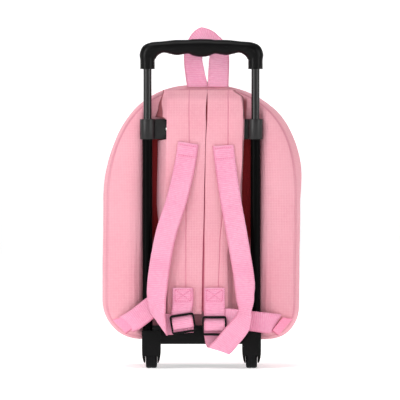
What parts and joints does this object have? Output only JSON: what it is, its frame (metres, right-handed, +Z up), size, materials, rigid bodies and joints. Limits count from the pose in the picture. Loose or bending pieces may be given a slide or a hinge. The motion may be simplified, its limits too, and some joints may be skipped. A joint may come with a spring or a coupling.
{
  "type": "child's wheeled backpack",
  "caption": "Small domed polyester backpack on a telescopic trolley, with webbing shoulder straps and slide buckles, a webbing top loop, a moulded pull grip and wheels under its base.",
  "frame": {"origin": "middle of the footprint, on the floor that the bag stands on", "axes": "+Z up; the back of the bag, with its straps and trolley tubes, faces -Y; the bag's front faces +Y; +X is to the right when looking at the back"},
  "size_m": [0.24, 0.1512, 0.4162],
  "materials": {
    "fabric": "pink ribbed polyester, matt",
    "webbing": "pink polypropylene webbing, matt",
    "zip_tape": "pink zip tape with a nylon coil",
    "black_plastic": "black moulded plastic, satin",
    "black_tube": "black painted steel tube, glossy",
    "zinc": "zinc plated",
    "wheel_plastic": "black hard plastic, matt"
  },
  "bodies": {
    "bag": {"back_panel": "fabric", "side_wall": "fabric", "front_panel": "fabric", "zip_chain": "zip_tape", "zip_slider_left": "zinc", "zip_slider_right": "zinc", "centre_band_left": "fabric", "centre_band_right": "fabric", "carry_loop": "webbing", "shoulder_strap_left": "webbing", "shoulder_strap_right": "webbing", "corner_strap_left": "webbing", "corner_strap_right": "webbing", "corner_patch_left": "fabric", "corner_patch_right": "fabric", "buckle_tab_left": "webbing", "buckle_tab_right": "webbing", "buckle_left": "black_plastic", "buckle_right": "black_plastic", "base": "black_plastic", "tube_bracket": "black_plastic", "outer_tube_left": "black_tube", "outer_tube_right": "black_tube", "rivet_left": "zinc", "rivet_right": "zinc", "axle_left": "zinc", "axle_right": "zinc"},
    "handle": {"grip": "black_plastic", "inner_tube_left": "black_tube", "inner_tube_right": "black_tube", "grip_pin_left": "zinc", "grip_pin_right": "zinc"},
    "left_wheel": {"wheel_left": "wheel_plastic"},
    "right_wheel": {"wheel_right": "wheel_plastic"}
  },
  "joints": [
    {"name": "handle_slide", "type": "slide", "parent": "bag", "child": "handle", "axis": [0, 0, 1], "range_m": [0, 0.2]},
    {"name": "left_wheel_spin", "type": "hinge", "parent": "bag", "child": "left_wheel", "pos_m": [-0.0613, -0.0307, 0.016], "axis": [1, 0, 0], "continuous": true},
    {"name": "right_wheel_spin", "type": "hinge", "parent": "bag", "child": "right_wheel", "pos_m": [0.0613, -0.0307, 0.016], "axis": [1, 0, 0], "continuous": true}
  ]
}
